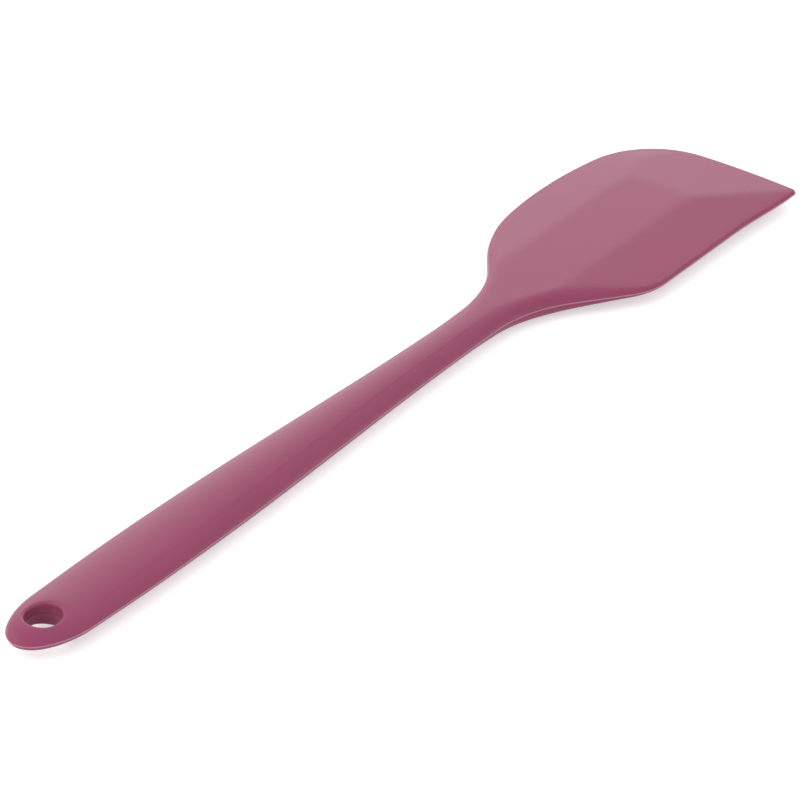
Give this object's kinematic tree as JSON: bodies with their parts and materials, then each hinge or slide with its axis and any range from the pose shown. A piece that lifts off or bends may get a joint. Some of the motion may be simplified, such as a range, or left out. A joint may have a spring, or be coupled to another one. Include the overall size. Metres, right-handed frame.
{
  "type": "silicone spatula",
  "caption": "One-piece moulded silicone spatula with a hanging hole, slim round handle and a thin-edged blade with one sharp and one rounded corner.",
  "frame": {"origin": "centre of the hanging hole, on the plane where the mould halves meet (mid-thickness)", "axes": "+X along the handle towards the blade, +Y towards the blade's rounded corner, +Z out of the upper face"},
  "size_m": [0.2799, 0.0545, 0.008],
  "materials": {
    "silicone": "satin moulded silicone, dusty pink",
    "core_nylon": "natural glass-filled nylon, fine moulded grain"
  },
  "bodies": {
    "root": {"silicone_body": "silicone", "stiffening_core": "core_nylon"}
  },
  "joints": []
}
